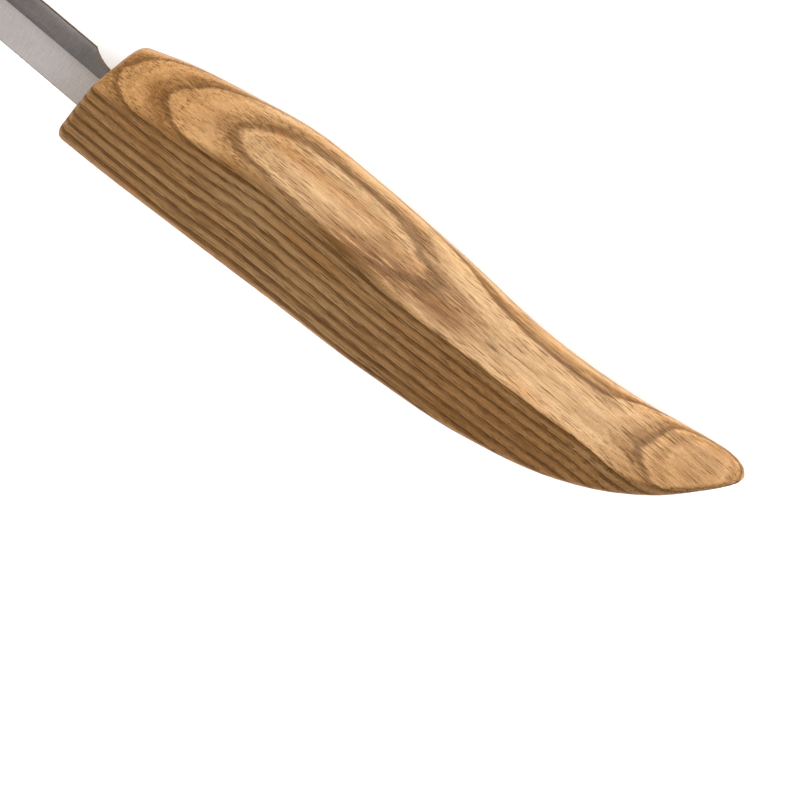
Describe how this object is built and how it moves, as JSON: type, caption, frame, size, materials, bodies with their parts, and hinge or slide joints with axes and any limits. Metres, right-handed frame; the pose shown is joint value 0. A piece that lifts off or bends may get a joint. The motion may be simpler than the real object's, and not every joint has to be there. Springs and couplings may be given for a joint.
{
  "type": "whittling knife",
  "caption": "Fixed-blade whittling knife: straight-edged ground steel blade with its tang glued into a hooked hardwood handle.",
  "frame": {"origin": "where the blade's centre line leaves the handle's front face", "axes": "+X along the blade to its tip, +Y to the spine with the cutting edge on -Y, +Z out of one cheek, so the knife lies on its side"},
  "size_m": [0.1693, 0.0308, 0.02],
  "materials": {
    "blade_steel": "finely ground",
    "handle_wood": "oiled, satin",
    "cured_glue": "cured adhesive"
  },
  "bodies": {
    "root": {"blade": "blade_steel", "handle": "handle_wood", "tang_glue": "cured_glue"}
  },
  "joints": []
}
